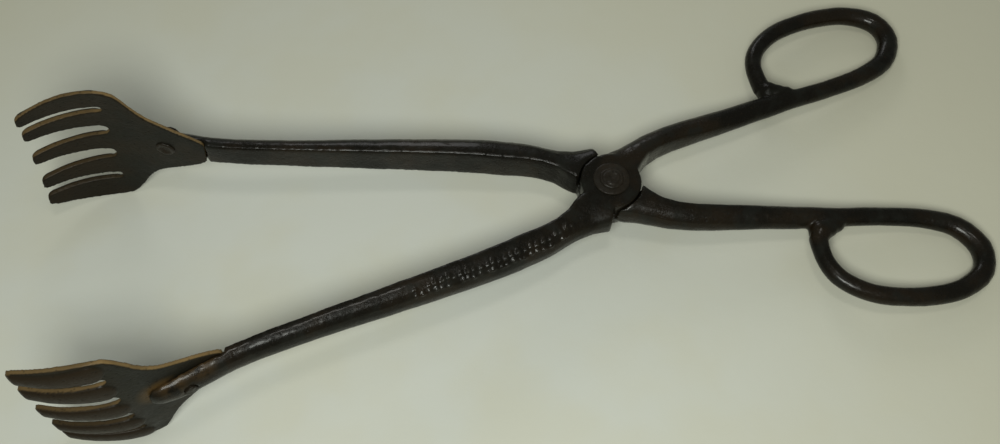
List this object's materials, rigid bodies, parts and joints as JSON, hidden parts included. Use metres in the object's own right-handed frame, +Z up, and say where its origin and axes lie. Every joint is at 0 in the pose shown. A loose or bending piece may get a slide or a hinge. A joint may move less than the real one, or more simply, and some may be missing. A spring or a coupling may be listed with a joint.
{
  "type": "scissor tongs",
  "caption": "Cast-iron scissor tongs: crossed levers on a riveted half-lap pivot, cupped fork heads riveted to the arm ends, oval finger loops",
  "frame": {"origin": "centre of the bounding box's bottom face, on the table the tongs rest on with the jaws open", "axes": "+X from the forks to the finger loops, +Y towards the arm of lever_a, +Z up from the table; the pivot axis leans towards +X by the resting tilt"},
  "size_m": [0.3824, 0.1504, 0.0767],
  "materials": {
    "lever_iron": "oiled dark brown-black patina",
    "fork_iron": "oiled dark patina, grey where rubbed",
    "rivet_iron": "hammered, brown patina"
  },
  "bodies": {
    "lever_a_side": {"lever_a": "lever_iron", "fork_a": "fork_iron", "fork_rivet_a": "rivet_iron", "pivot_rivet": "rivet_iron", "pivot_washer": "rivet_iron"},
    "lever_b_side": {"lever_b": "lever_iron", "fork_b": "fork_iron", "fork_rivet_b": "rivet_iron"}
  },
  "joints": [
    {"name": "scissor_pivot", "type": "hinge", "parent": "lever_a_side", "child": "lever_b_side", "pos_m": [0.0429, 0, 0.01868], "axis": [0.0977, 0, 0.9952], "range_deg": [-25, 4]}
  ]
}
